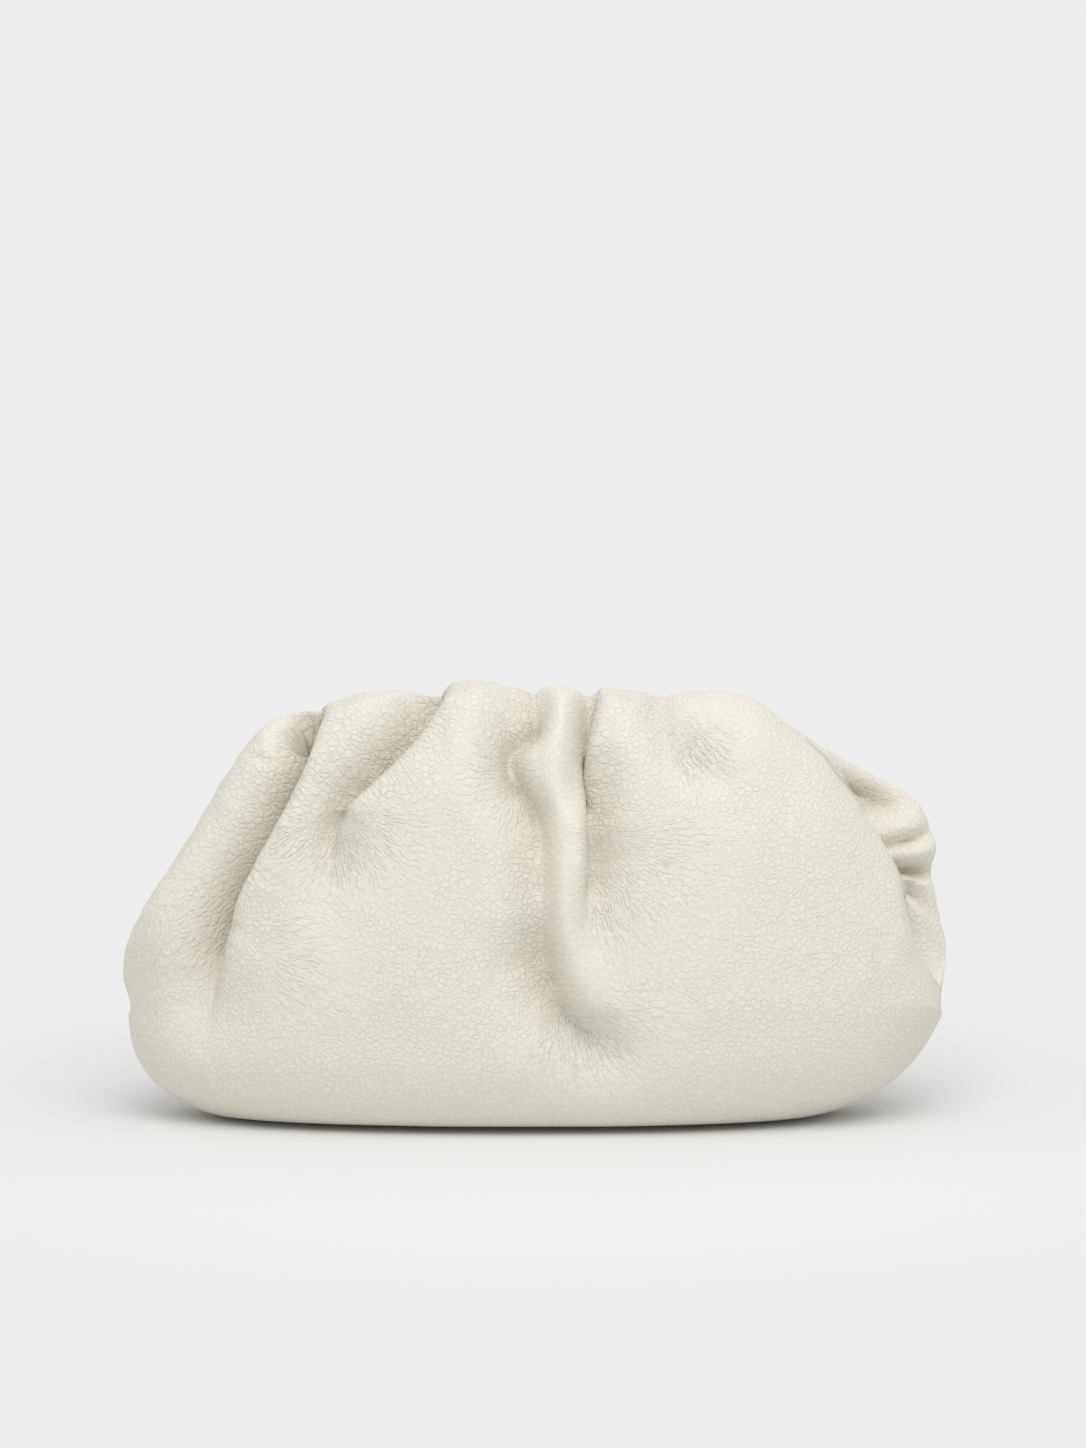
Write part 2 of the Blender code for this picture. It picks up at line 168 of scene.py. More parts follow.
def frame_line():
    """The hidden frame's centre line seen from in front: straight runs with rounded corners."""
    corners = in_metres(FRAME_ARCH)
    line = [corners[0]]
    for before, corner, after in zip(corners, corners[1:], corners[2:]):
        way_in = (before - corner) / np.linalg.norm(before - corner)
        way_out = (after - corner) / np.linalg.norm(after - corner)
        half_angle = math.acos(float(way_in @ way_out)) / 2
        middle = (way_in + way_out) / np.linalg.norm(way_in + way_out)
        centre = corner + middle * FRAME_CORNER_RADIUS / math.sin(half_angle)
        reach = FRAME_CORNER_RADIUS / math.tan(half_angle)
        start = corner + way_in * reach - centre
        finish = corner + way_out * reach - centre
        turn = math.pi - 2 * half_angle
        for share in np.linspace(0.0, 1.0, CORNER_POINTS):
            weights = math.sin((1 - share) * turn), math.sin(share * turn)
            line.append(centre + (start * weights[0] + finish * weights[1]) / math.sin(turn))
    line.append(corners[-1])
    return np.array(line)


def rim_line():
    """The frame's line carried on past both feet, where the leather's edge passes round them."""
    line = frame_line()
    left = line[0] - line[1]
    right = line[-1] - line[-2]
    left_end = line[0] + left / np.linalg.norm(left) * PAST_FOOT
    right_end = line[-1] + right / np.linalg.norm(right) * PAST_FOOT
    return np.vstack([left_end, line, right_end])


def plan_half(left, right, depth):
    """Half of a level ring seen from above, a squared oval, from its left end to its right end."""
    angles = np.linspace(0.0, math.pi, DENSE_POINTS)
    power = 2 / PLAN_SQUARENESS
    across = -np.sign(np.cos(angles)) * np.abs(np.cos(angles)) ** power
    reach = np.where(across < 0, left, right)
    return np.column_stack([across * reach, depth * np.sin(angles) ** power])


def column_shares(count):
    """Where the columns stand along each half of the mouth, as shares from left to right."""
    fine = np.linspace(0.0, 1.0, DENSE_POINTS)
    density = np.interp(fine, [row.along for row in COLUMN_CROWDING],
                        [row.density for row in COLUMN_CROWDING])
    total = np.concatenate([[0.0], np.cumsum((density[1:] + density[:-1]) / 2)])
    return np.interp(np.linspace(0.0, total[-1], count + 1), total, fine)


def beside_rim(crest, rim, columns):
    """Crest points for the columns, each standing mostly beside its own place on the rim."""
    own = lengths_along(crest) / lengths_along(crest)[-1]
    places = at_shares(rim, np.linspace(0.0, 1.0, DENSE_POINTS))
    apart = np.linalg.norm(crest[:, None, :] - places[None, :, :], axis=2)
    nearest = np.maximum.accumulate(apart.argmin(axis=1)) / (len(places) - 1)
    matched = CREST_MATCH * nearest + (1 - CREST_MATCH) * own
    matched = (matched - matched[0]) / (matched[-1] - matched[0])
    return np.column_stack([np.interp(columns, matched, axis) for axis in crest.T])


def spread_ends(columns):
    """Column shares below the crest, fanned out towards both ends of the mouth."""
    from_end = np.minimum(columns, 1.0 - columns)
    rise = 1.0 - np.exp(-from_end / END_SPREAD_START)
    fall = np.clip(1.0 - from_end / END_SPREAD_REACH, 0.0, 1.0) ** 2
    return columns + np.sign(0.5 - columns) * END_SPREAD * rise * fall


def level_ring(level, columns):
    """One level ring of a half: places seen from above, and how full the ring is at each."""
    plan = at_shares(plan_half(level.left * HALF_WIDTH, level.right * HALF_WIDTH,
                               level.depth * HALF_DEPTH), spread_ends(columns))
    fullness = np.clip(plan[:, 1] / (level.depth * HALF_DEPTH), 0.0, 1.0)
    height = max(level.rise, 0.0) * BAG_HEIGHT * (1.0 - END_DROP * (1.0 - fullness) ** 2)
    return plan, height, fullness


def half_surface(side, crest_shares, columns):
    """One half of the pouch before its folds, as rows of points from the rim to the bottom."""
    line = rim_line()
    rim = at_shares(line, columns)
    from_end = np.minimum(columns, 1.0 - columns) * lengths_along(line)[-1]
    round_foot = np.minimum(1.0, from_end / RIM_REACH)
    rim_depth = RIM_REACH * np.sqrt(1.0 - (1.0 - round_foot) ** 2)
    crest = beside_rim(smooth_curve(in_metres(crest_shares)), line, columns)
    belly, belly_height, fullness = level_ring(LOWER_BODY[0], columns)
    crest_depth = rim_depth + ROLL_REACH * np.minimum(1.0, ROLL_SWELL * fullness) ** ROLL_POWER
    inward = np.array([0.0, LOWER_BODY[0].rise * BAG_HEIGHT]) - rim
    inward /= np.linalg.norm(inward, axis=1)[:, None]
    valley = np.linalg.norm(crest - rim, axis=1) * VALLEY_SAG * (1.0 - fullness) ** 2
    target = np.column_stack([belly[:, 0], belly_height])
    rows = []
    for share in np.linspace(0.0, 1.0, TUCK_ROWS, endpoint=False):
        angle = share * math.pi / 2
        seen = rim + (crest - rim) * math.sin(angle) + inward * (valley * math.sin(2 * angle))[:, None]
        depth = rim_depth + (crest_depth - rim_depth) * (1 - math.cos(angle))
        rows.append(np.column_stack([seen[:, 0], side * depth, seen[:, 1]]))
    for share in np.linspace(0.0, 1.0, FACE_ROWS, endpoint=False):
        angle = share * math.pi / 2
        seen = crest + (target - crest) * (1 - math.cos(angle))
        depth = crest_depth + (belly[:, 1] - crest_depth) * math.sin(angle)
        rows.append(np.column_stack([seen[:, 0], side * depth, seen[:, 1]]))
    for row in at_shares(smooth_curve(np.array(LOWER_BODY)), np.linspace(0.0, 1.0, UNDER_ROWS + 1)):
        plan, height, _ = level_ring(LevelRing(*row), columns)
        rows.append(np.column_stack([plan[:, 0], side * plan[:, 1], height]))
    return np.array(rows)


front_columns = column_shares(FRONT_COLUMNS)
back_columns = column_shares(BACK_COLUMNS)
front_half = half_surface(FRONT, FRONT_CREST, front_columns)
back_half = half_surface(BACK, BACK_CREST, back_columns)
plain = np.concatenate([front_half, back_half[:, -2:0:-1]], axis=1)
row_count, column_count, _ = plain.shape
on_front = np.arange(column_count) <= FRONT_COLUMNS

# The way out of the leather at each point. In the tuck the gathers move it as they move the crest above it.
outward = np.cross(np.gradient(plain, axis=0), np.roll(plain, -1, axis=1) - np.roll(plain, 1, axis=1))
outward /= np.linalg.norm(outward, axis=2)[:, :, None]
outward = sum(np.roll(outward, shift, axis=1) for shift in range(-NORMAL_SPREAD, NORMAL_SPREAD + 1))
outward /= np.linalg.norm(outward, axis=2)[:, :, None]
mouthward = outward[:TUCK_ROWS].copy()
outward[:TUCK_ROWS] = outward[TUCK_ROWS]

# The gathers. The hide is too long for the frame, so it is pleated into it: soft hollows, laps where one roll
# of leather lies over the hollow beside it, and one narrow tube between two creases. They start at the frame
# and fan out.

# Depths are shares of the bag's depth, and below 0 they puff out. Reaches and rolls are shares of its width.
# A roll below 0 lays the left side over the hollow, and one above 0 the right side. Fades are shares of the
# route.
Fold = namedtuple("Fold", "name depth left_reach right_reach fade_out route roll roll_end fade_in",
                  defaults=(0.0, 0.0, 0.0))
FRONT_FOLDS = (
    Fold("left_tube", -0.050, 0.040, 0.040, 0.30,
         ((-0.620, 0.850), (-0.710, 0.700), (-0.800, 0.560), (-0.880, 0.430), (-0.930, 0.310))),
    Fold("left_hollow", 0.195, 0.040, 0.046, 0.46,
         ((-0.508, 0.955), (-0.526, 0.894), (-0.558, 0.819), (-0.616, 0.711), (-0.671, 0.622),
          (-0.709, 0.553), (-0.733, 0.481), (-0.760, 0.390), (-0.785, 0.290), (-0.790, 0.140)),
         roll=0.021, roll_end=0.66),
    Fold("first_tube", -0.035, 0.045, 0.045, 0.50,
         ((-0.370, 0.985), (-0.420, 0.860), (-0.500, 0.720), (-0.560, 0.600), (-0.590, 0.460))),
    Fold("second_hollow", 0.142, 0.038, 0.044, 0.58,
         ((-0.200, 1.020), (-0.230, 0.967), (-0.280, 0.895), (-0.336, 0.840), (-0.378, 0.802),
          (-0.428, 0.756), (-0.467, 0.691), (-0.488, 0.608), (-0.505, 0.498), (-0.500, 0.400)),
         roll=0.019, roll_end=0.48),
    Fold("second_tube", -0.030, 0.045, 0.045, 0.50,
         ((-0.140, 1.000), (-0.180, 0.860), (-0.250, 0.700), (-0.280, 0.540))),
    Fold("pinch", 0.080, 0.034, 0.016, 0.45,
         ((0.008, 1.010), (0.010, 0.947), (0.000, 0.915), (-0.024, 0.893), (-0.044, 0.866),
          (-0.044, 0.830), (-0.024, 0.783), (0.004, 0.745), (0.018, 0.698), (0.020, 0.589),
          (0.022, 0.480), (0.040, 0.370), (0.086, 0.290), (0.160, 0.228), (0.254, 0.196))),
    Fold("pinch_line", 0.034, 0.009, 0.007, 0.40,
         ((0.012, 0.975), (0.010, 0.945), (0.000, 0.920), (-0.022, 0.903), (-0.046, 0.880),
          (-0.050, 0.845), (-0.030, 0.800), (0.000, 0.755), (0.018, 0.700), (0.020, 0.600)),
         fade_in=0.10),
    Fold("tail_line", 0.020, 0.010, 0.008, 0.45,
         ((0.022, 0.400), (0.040, 0.330), (0.078, 0.272), (0.132, 0.228), (0.200, 0.203)),
         fade_in=0.35),
    Fold("lower_valley", 0.060, 0.046, 0.024, 0.35,
         ((0.000, 0.520), (0.015, 0.420), (0.050, 0.320), (0.115, 0.245), (0.210, 0.195),
          (0.320, 0.165)),
         fade_in=0.25),
    Fold("deep_crease", 0.092, 0.016, 0.042, 0.55,
         ((0.130, 0.900), (0.124, 0.820), (0.124, 0.762), (0.124, 0.654),
          (0.129, 0.534), (0.162, 0.424), (0.228, 0.335)),
         roll=-0.012, roll_end=0.45, fade_in=0.20),
    Fold("tuck_edge", 0.100, 0.024, 0.030, 0.40,
         ((0.168, 1.020), (0.156, 0.971), (0.141, 0.910), (0.129, 0.851), (0.122, 0.794),
          (0.122, 0.700)),
         roll=0.016, roll_end=0.70),
    Fold("third_tube", -0.030, 0.040, 0.050, 0.55,
         ((0.215, 0.985), (0.230, 0.850), (0.260, 0.700), (0.300, 0.560))),
    Fold("narrow_tube", -0.034, 0.026, 0.024, 0.45,
         ((0.062, 1.020), (0.063, 0.931), (0.069, 0.847), (0.071, 0.719), (0.071, 0.589),
          (0.073, 0.479), (0.099, 0.390), (0.152, 0.310), (0.240, 0.262))),
    Fold("gathered_swirl", 0.110, 0.009, 0.009, 0.60,
         ((-0.576, 0.908), (-0.570, 0.900), (-0.562, 0.890))),
    Fold("swirl_crease_up", 0.020, 0.005, 0.005, 0.90,
         ((-0.570, 0.908), (-0.576, 0.926), (-0.586, 0.944))),
    Fold("swirl_crease_left", 0.020, 0.005, 0.005, 0.90,
         ((-0.577, 0.901), (-0.602, 0.903), (-0.627, 0.908))),
    Fold("upper_cross_crease", 0.012, 0.005, 0.005, 0.50,
         ((-0.577, 0.884), (-0.610, 0.870), (-0.650, 0.872), (-0.680, 0.874)),
         fade_in=0.40),
    Fold("lower_cross_crease", 0.012, 0.005, 0.005, 0.50,
         ((-0.590, 0.860), (-0.630, 0.845), (-0.670, 0.849), (-0.700, 0.846)),
         fade_in=0.40),
    Fold("swirl_lip", -0.022, 0.012, 0.014, 0.60,
         ((-0.512, 0.912), (-0.530, 0.888), (-0.552, 0.845))),
    Fold("first_knot", 0.035, 0.012, 0.012, 0.80,
         ((0.302, 1.000), (0.302, 0.967), (0.315, 0.945))),
    Fold("second_knot", 0.030, 0.010, 0.010, 0.80,
         ((0.230, 1.000), (0.232, 0.965), (0.245, 0.940))),
    Fold("knot_crease", 0.036, 0.034, 0.024, 0.60,
         ((0.300, 0.980), (0.310, 0.930), (0.360, 0.868), (0.446, 0.799), (0.535, 0.695))),
)
BACK_FOLDS = (
    Fold("back_left", 0.070, 0.040, 0.040, 0.50,
         ((-0.600, 0.960), (-0.620, 0.800), (-0.700, 0.600), (-0.760, 0.380)),
         roll=0.018, roll_end=0.40),
    Fold("back_slant", 0.085, 0.040, 0.040, 0.50,
         ((-0.330, 1.010), (-0.310, 0.860), (-0.390, 0.680), (-0.500, 0.470), (-0.540, 0.330)),
         roll=-0.018, roll_end=0.40),
    Fold("back_middle", 0.090, 0.036, 0.036, 0.45,
         ((-0.060, 1.010), (-0.080, 0.860), (-0.060, 0.660), (-0.090, 0.450), (-0.160, 0.270)),
         roll=0.018, roll_end=0.40),
    Fold("back_deep", 0.085, 0.024, 0.036, 0.50,
         ((0.160, 1.010), (0.150, 0.860), (0.190, 0.660), (0.260, 0.460), (0.350, 0.300))),
    Fold("back_right", 0.055, 0.036, 0.036, 0.55,
         ((0.450, 1.000), (0.440, 0.880), (0.520, 0.720), (0.640, 0.520)),
         roll=0.016, roll_end=0.40),
    Fold("back_tube", -0.035, 0.024, 0.024, 0.40,
         ((0.040, 1.010), (0.030, 0.840), (0.045, 0.640), (0.020, 0.450))),
)

# How far a lapping roll curls under, the share of its reach that is curled, how many radii of leather it
# draws in, and the share of the route over which it eases out. A fold acts within its sight, in reaches.
ROLL_UNDER = math.radians(32)
ROLL_SHARE = 0.6
ROLL_DRAW = 2.0
ROLL_EASE = 0.34
FOLD_SIGHT = 2.4

# How far the crest rises and falls with the folds, and the greatest push in at the crest and on the face.
# Below the fold floor the folds fade out.
CREST_GIVE = 0.10
CREST_HOLD_REACH = 0.22
CREST_ROOM = 0.0048
FACE_ROOM = 0.0400
FOLD_FLOOR = LOWER_BODY[2].rise * BAG_HEIGHT

# Small crinkles stand across every hollow, and faint swells and dimples lie all over the hide
CRINKLE_HEIGHT = 0.0005
CRINKLE_ALONG = 0.0036
CRINKLE_ACROSS = 0.0100
SWELL_HEIGHT = 0.0006
SWELL_LENGTH = 0.024
SWELL_SEED = 3
DIMPLE_HEIGHT = 0.00018
DIMPLE_LENGTH = 0.008
DIMPLE_SEED = 5
NOISE_CELLS = 128

# Pleats in the leather beside the frame: small ones all round, and a few large ones where the back's roll
# shows past the right end. Places and widths are shares of the mouth from left to right.
SMALL_PLEAT_LENGTH = 0.0042
SMALL_PLEAT_HEIGHT = 0.0011
SMALL_PLEAT_SEED = 11
Pleat = namedtuple("Pleat", "name place width height")
RIGHT_PLEATS = (
    Pleat("upper_crinkle", 0.780, 0.007, -0.0010),
    Pleat("deep_recess", 0.826, 0.036, -0.0082),
    Pleat("recess_crease", 0.848, 0.005, -0.0012),
    Pleat("ledge", 0.892, 0.013, 0.0022),
    Pleat("upper_crease", 0.916, 0.006, -0.0030),
    Pleat("smooth_tab", 0.934, 0.012, 0.0020),
    Pleat("lower_crease", 0.954, 0.007, -0.0058),
    Pleat("lobe_fold", 0.967, 0.005, 0.0012),
    Pleat("lobe_crease", 0.976, 0.005, -0.0036),
)

# How strong the pleats are at which rows, and how far those at the right draw together at the frame
PLEAT_ROWS = (0, 10, 20, 34)
PLEAT_SHARES = (0.0, 1.0, 0.22, 0.0)
PLEAT_HUB = 0.945
HUB_SPREAD = 0.55


def smooth_step(share):
    """Eases from 0 to 1 as the share does, and holds both beyond."""
    held = np.clip(share, 0.0, 1.0)
    return held * held * (3 - 2 * held)


def rough(places, lengths, seed):
    """Smooth irregular heights from -1 to 1 over a plane, with the given lengths between them."""
    scaled = places / lengths
    whole = np.floor(scaled).astype(int)
    eased = smooth_step(scaled - whole)
    table = np.random.default_rng(seed).uniform(-1.0, 1.0, (NOISE_CELLS, NOISE_CELLS))
    left, low = np.moveaxis(whole % NOISE_CELLS, -1, 0)
    right, high = (left + 1) % NOISE_CELLS, (low + 1) % NOISE_CELLS
    below = table[left, low] * (1 - eased[..., 0]) + table[right, low] * eased[..., 0]
    above = table[left, high] * (1 - eased[..., 0]) + table[right, high] * eased[..., 0]
    return below * (1 - eased[..., 1]) + above * eased[..., 1]


def beside_route(fold, places):
    """Where places lie beside a fold's route: metres along it, distance, side and the way out from it."""
    route = smooth_curve(in_metres(fold.route))
    runs = np.diff(route, axis=0)
    lengths = np.linalg.norm(runs, axis=1)
    away = places[:, None, :] - route[None, :-1, :]
    along = np.clip((away * runs).sum(axis=2) / lengths**2, 0.0, 1.0)
    offsets = away - along[:, :, None] * runs
    distances = np.linalg.norm(offsets, axis=2)
    nearest = distances.argmin(axis=1)
    rows = np.arange(len(places))
    distance = distances[rows, nearest]
    turned = runs[nearest, 0] * away[rows, nearest, 1] - runs[nearest, 1] * away[rows, nearest, 0]
    travelled = np.concatenate([[0.0], np.cumsum(lengths)])
    gone = travelled[nearest] + along[rows, nearest] * lengths[nearest]
    way_out = offsets[rows, nearest] / np.maximum(distance, 1e-9)[:, None]
    return gone, gone / travelled[-1], distance, np.where(turned > 0, 1, -1), way_out


def fold_moves(fold, places):
    """What a fold does at each place: the push in, the slide sideways, the crinkles and how creased it is."""
    route = in_metres(fold.route)
    sight = max(fold.left_reach, fold.right_reach) * BAG_WIDTH * FOLD_SIGHT
    near = np.all((places > route.min(axis=0) - sight) & (places < route.max(axis=0) + sight), axis=1)
    push = np.zeros(len(places))
    slide = np.zeros((len(places), 2))
    crinkle = np.zeros(len(places))
    creased = np.zeros(len(places))
    gone, share, distance, side, way_out = beside_route(fold, places[near])
    strength = smooth_step((1.0 - share) / fold.fade_out)
    if fold.fade_in:
        strength = strength * smooth_step(share / fold.fade_in)
    reach = np.where(side > 0, fold.right_reach, fold.left_reach) * BAG_WIDTH
    soft = np.exp(-(distance / reach)**2)
    push[near] = fold.depth * BAG_DEPTH * strength * soft
    if fold.roll:
        radius = abs(fold.roll) * BAG_WIDTH
        ratio = distance / (radius * ROLL_DRAW)
        rolled = smooth_step((fold.roll_end - share) / ROLL_EASE + 1) * (side == np.sign(fold.roll))
        angle = np.clip(ratio / ROLL_SHARE, 0.0, 1.0) * (math.pi / 2 + ROLL_UNDER) - ROLL_UNDER
        lap = 1 - (np.sin(angle) + math.sin(ROLL_UNDER)) / (1 + math.sin(ROLL_UNDER))
        past = np.clip((ratio - ROLL_SHARE) / (1 - ROLL_SHARE), 0.0, 1.0) * (ROLL_DRAW - 1)
        lateral = radius * (1 - np.cos(angle) / math.cos(ROLL_UNDER) + past)
        push[near] += fold.depth * BAG_DEPTH * strength * (lap - soft) * rolled
        slide[near] = way_out * ((lateral - distance) * strength * rolled * (ratio < 1))[:, None]
    if fold.depth > 0:
        creased[near] = strength * soft
        beside = np.column_stack([gone, distance * side])
        crinkle[near] = creased[near] * rough(beside, (CRINKLE_ALONG, CRINKLE_ACROSS), len(fold.route))
    return push, slide, crinkle, creased


push = np.zeros((row_count, column_count))
slide = np.zeros((row_count, column_count, 2))
crinkle = np.zeros((row_count, column_count))
creased = np.zeros((row_count, column_count))
halves = ((slice(0, FRONT_COLUMNS + 1), FRONT_FOLDS), (slice(FRONT_COLUMNS + 1, column_count), BACK_FOLDS))
for span, folds in halves:
    places = plain[:, span][:, :, (0, 2)].reshape(-1, 2)
    for fold in folds:
        moves = fold_moves(fold, places)
        push[:, span] += moves[0].reshape(row_count, -1)
        slide[:, span] += moves[1].reshape(row_count, -1, 2)
        crinkle[:, span] += moves[2].reshape(row_count, -1)
        creased[:, span] = np.maximum(creased[:, span], moves[3].reshape(row_count, -1))
swell = rough(plain[:, :, (0, 2)] + plain[:, :, 1:2], SWELL_LENGTH, SWELL_SEED) * SWELL_HEIGHT
dimples = rough(plain[:, :, (0, 2)] - plain[:, :, 1:2], DIMPLE_LENGTH, DIMPLE_SEED) * DIMPLE_HEIGHT
push += swell + dimples + crinkle * CRINKLE_HEIGHT

# The folds fade out at the frame and at the bottom, and near the crest they are held in front of the frame
tuck_fade = np.ones(row_count)
tuck_fade[:TUCK_ROWS] = np.sin(np.arange(TUCK_ROWS) / TUCK_ROWS * math.pi / 2) ** 2
bottom_fade = np.clip(plain[:, :, 2] / FOLD_FLOOR, 0.0, 1.0)
fade = tuck_fade[:, None] * bottom_fade
below_crest = smooth_step((np.arange(row_count) - TUCK_ROWS) / (FACE_ROWS * CREST_HOLD_REACH))
crest_hold = CREST_GIVE + (1 - CREST_GIVE) * below_crest
room = (CREST_ROOM + (FACE_ROOM - CREST_ROOM) * below_crest)[:, None]
push = np.where(push > 0, room * np.tanh(push / room), push) * fade
slide *= fade[:, :, None]
sideways = np.stack([slide[:, :, 0], np.zeros_like(push), slide[:, :, 1]], axis=2)
sideways -= outward * (sideways * outward).sum(axis=2)[:, :, None]
moved = sideways - outward * push[:, :, None]
moved[:, :, 2] *= np.where(push < 0, crest_hold[:, None] ** 2, crest_hold[:, None])
skin = plain + moved

mouth_share = np.concatenate([front_columns, back_columns[-2:0:-1]])
mouth_length = lengths_along(rim_line())[-1]
pleat_places = np.column_stack([mouth_share * mouth_length, ~on_front])
small_pleats = rough(pleat_places, (SMALL_PLEAT_LENGTH, 1.0), SMALL_PLEAT_SEED) * SMALL_PLEAT_HEIGHT
pleated = np.interp(np.arange(row_count), PLEAT_ROWS, PLEAT_SHARES)[:, None]
spread = np.minimum(1.0, HUB_SPREAD + (1 - HUB_SPREAD) * np.arange(row_count) / TUCK_ROWS)[:, None]
spread_share = PLEAT_HUB + (mouth_share - PLEAT_HUB) / spread
large_pleats = np.zeros((row_count, column_count))
for pleat in RIGHT_PLEATS:
    ratio = (spread_share - pleat.place) / pleat.width
    large_pleats += pleat.height * np.exp(-ratio**2) * ~on_front
pleat_way = np.concatenate([mouthward, outward[TUCK_ROWS:]])
skin += pleat_way * (pleated * (small_pleats + large_pleats))[:, :, None]

# The bag stands with the middle of its footprint at the origin
middle = (skin.min(axis=(0, 1)) + skin.max(axis=(0, 1))) / 2
skin -= np.array([middle[0], middle[1], 0.0])

faces = []
for row in range(row_count - 1):
    upper = row * column_count
    lower = upper + column_count
    for column in range(column_count):
        beside = (column + 1) % column_count
        faces.append((upper + column, lower + column, lower + beside, upper + beside))
bottom = (row_count - 1) * column_count
faces.append(tuple(range(bottom, bottom + column_count))[::-1])
pouch_mesh = bpy.data.meshes.new("leather_pouch")
pouch_mesh.from_pydata(skin.reshape(-1, 3).tolist(), [], faces)
pouch_mesh.shade_smooth()
pouch = bpy.data.objects.new("leather_pouch", pouch_mesh)
bpy.context.scene.collection.objects.link(pouch)


class Level:
    """A number that varies over a surface. Maths on it adds the nodes that work it out."""

    def __init__(self, finish, socket):
        self.finish = finish
        self.socket = socket

    def maths(self, operation, *values):
        sockets = dict(enumerate(values))
        made = self.finish.node("Math", {"operation": operation}, sockets)
        return Level(self.finish, made.outputs[0])

    def __add__(self, other):
        return self.maths("ADD", self, other)

    def __mul__(self, other):
        return self.maths("MULTIPLY", self, other)

    def __rsub__(self, other):
        return self.maths("SUBTRACT", other, self)


class Finish:
    """One material, with one method for every node that is not plain maths."""

    def __init__(self, name, roughness, specular):
        self.material = bpy.data.materials.new(name)
        self.material.use_nodes = True
        self.tree = self.material.node_tree
        self.shader = self.tree.nodes["Principled BSDF"]
        self.shader.inputs["Roughness"].default_value = roughness
        self.shader.inputs["Specular IOR Level"].default_value = specular

    def feed(self, socket, value):
        """Links an output to a socket, or sets the socket to a plain value."""
        if isinstance(value, Level):
            value = value.socket
        if isinstance(value, bpy.types.NodeSocket):
            self.tree.links.new(value, socket)
        else:
            socket.default_value = value

    def node(self, kind, settings, sockets):
        """Adds one node, makes its settings and feeds its sockets."""
        made = self.tree.nodes.new("ShaderNode" + kind)
        for name, value in settings.items():
            setattr(made, name, value)
        for name, value in sockets.items():
            self.feed(made.inputs[name], value)
        return made

    def level(self, kind, settings, sockets, output=0):
        """Adds one node and gives its output as a level."""
        return Level(self, self.node(kind, settings, sockets).outputs[output])


# The hide's grain. Soft ivory leather with rounded pebbles about 1.8 mm across, which stretch into fine lines
# where it is drawn together at the end of a gather. On the narrow tube and low down it lies flatter.

# Pinches are the places that the lines fan out from. Places are shares of the half width and the height. The
# turn and the opening of a fan are degrees, the turn from straight down. Its lines are strongest at its
# radius, a share of the width, and fade over its reach.
Pinch = namedtuple("Pinch", "name across up turn opening radius reach")
PINCHES = (
    Pinch("along_left_hollow", -0.590, 0.820, -24, 26, 0.250, 0.130),
    Pinch("left_hollow_end", -0.765, 0.460, 38, 74, 0.098, 0.085),
    Pinch("second_hollow_end", -0.455, 0.745, 4, 85, 0.075, 0.065),
    Pinch("pinch_bend", -0.030, 0.820, -60, 70, 0.050, 0.038),
    Pinch("deep_crease_end", 0.120, 0.690, 50, 52, 0.110, 0.085),
    Pinch("tube_tail", 0.060, 0.340, 30, 60, 0.095, 0.070),
    Pinch("knot", 0.270, 0.980, 50, 30, 0.095, 0.060),
    Pinch("swirl", -0.570, 0.900, 0, 150, 0.022, 0.018),
)

# The size of one wrinkle, and the degrees over which a fan's edge fades. Where two fans meet, the lines fade
# out until one fan leads the other by more than the apart value, and they are full a margin past that. The
# step gives each fan lines of its own, and inside the core they get no finer.
WRINKLE_WIDTH = 0.00135
WRINKLE_LENGTH = 0.0042
FAN_EDGE = 25
FAN_MARGIN = 0.25
FAN_APART = 0.12
FAN_STEP = 10.0
FAN_CORE = 0.05

# How deep the grain is where the hide is plain, and how much creases and fans add. It is flatter beside the
# line down the narrow tube, where every third point of the line is enough, and below the low height.
SMOOTH_TUBE = ((0.062, 1.000), (0.066, 0.850), (0.071, 0.600), (0.080, 0.470), (0.120, 0.350))
SMOOTH_REACH = 0.0065
TUBE_STRIDE = 3
LOW_HEIGHT = 0.22 * BAG_HEIGHT
PLAIN_GRAIN = 0.75
CREASED_GRAIN = 0.55
FANNED_GRAIN = 0.25
TUBE_FLATTENING = 0.62
LOW_FLATTENING = 0.45

# Painted shade in the hide's colour: how deep a push in counts as fully shaded, and the same for the pleats,
# which get a deeper painted shade
SHADE_DEPTH = 0.012
PLEAT_SHADE = 0.0045
PLEAT_SHADING = 2.4

seen_places = plain[:, :, (0, 2)] + slide * tuck_fade[:, None, None]
fan_place = np.zeros((row_count, column_count, 3))
fan_share = np.zeros((row_count, column_count))
next_share = np.zeros((row_count, column_count))
for number, pinch in enumerate(PINCHES):
    radius = pinch.radius * BAG_WIDTH
    away = seen_places - in_metres([(pinch.across, pinch.up)])[0]
    distance = np.hypot(away[:, :, 0], away[:, :, 1])
    turn = np.arctan2(away[:, :, 0], -away[:, :, 1]) - math.radians(pinch.turn)
    turn = (turn + math.pi) % (2 * math.pi) - math.pi
    share = smooth_step((pinch.opening - np.degrees(np.abs(turn))) / FAN_EDGE + 0.5)
    share *= np.exp(-((distance - radius) / (pinch.reach * BAG_WIDTH))**2)
    share *= on_front
    nearer = share > fan_share
    next_share = np.where(nearer, fan_share, np.maximum(next_share, share))
    lengthways = np.log(np.maximum(distance / radius, FAN_CORE)) * radius / WRINKLE_LENGTH
    across = turn * radius / WRINKLE_WIDTH
    apart = np.full_like(turn, number * FAN_STEP)
    coordinates = np.stack([across, lengthways, apart], axis=2)
    fan_place[nearer] = coordinates[nearer]
    fan_share[nearer] = share[nearer]
fan_share *= smooth_step((fan_share - next_share - FAN_APART) / FAN_MARGIN)

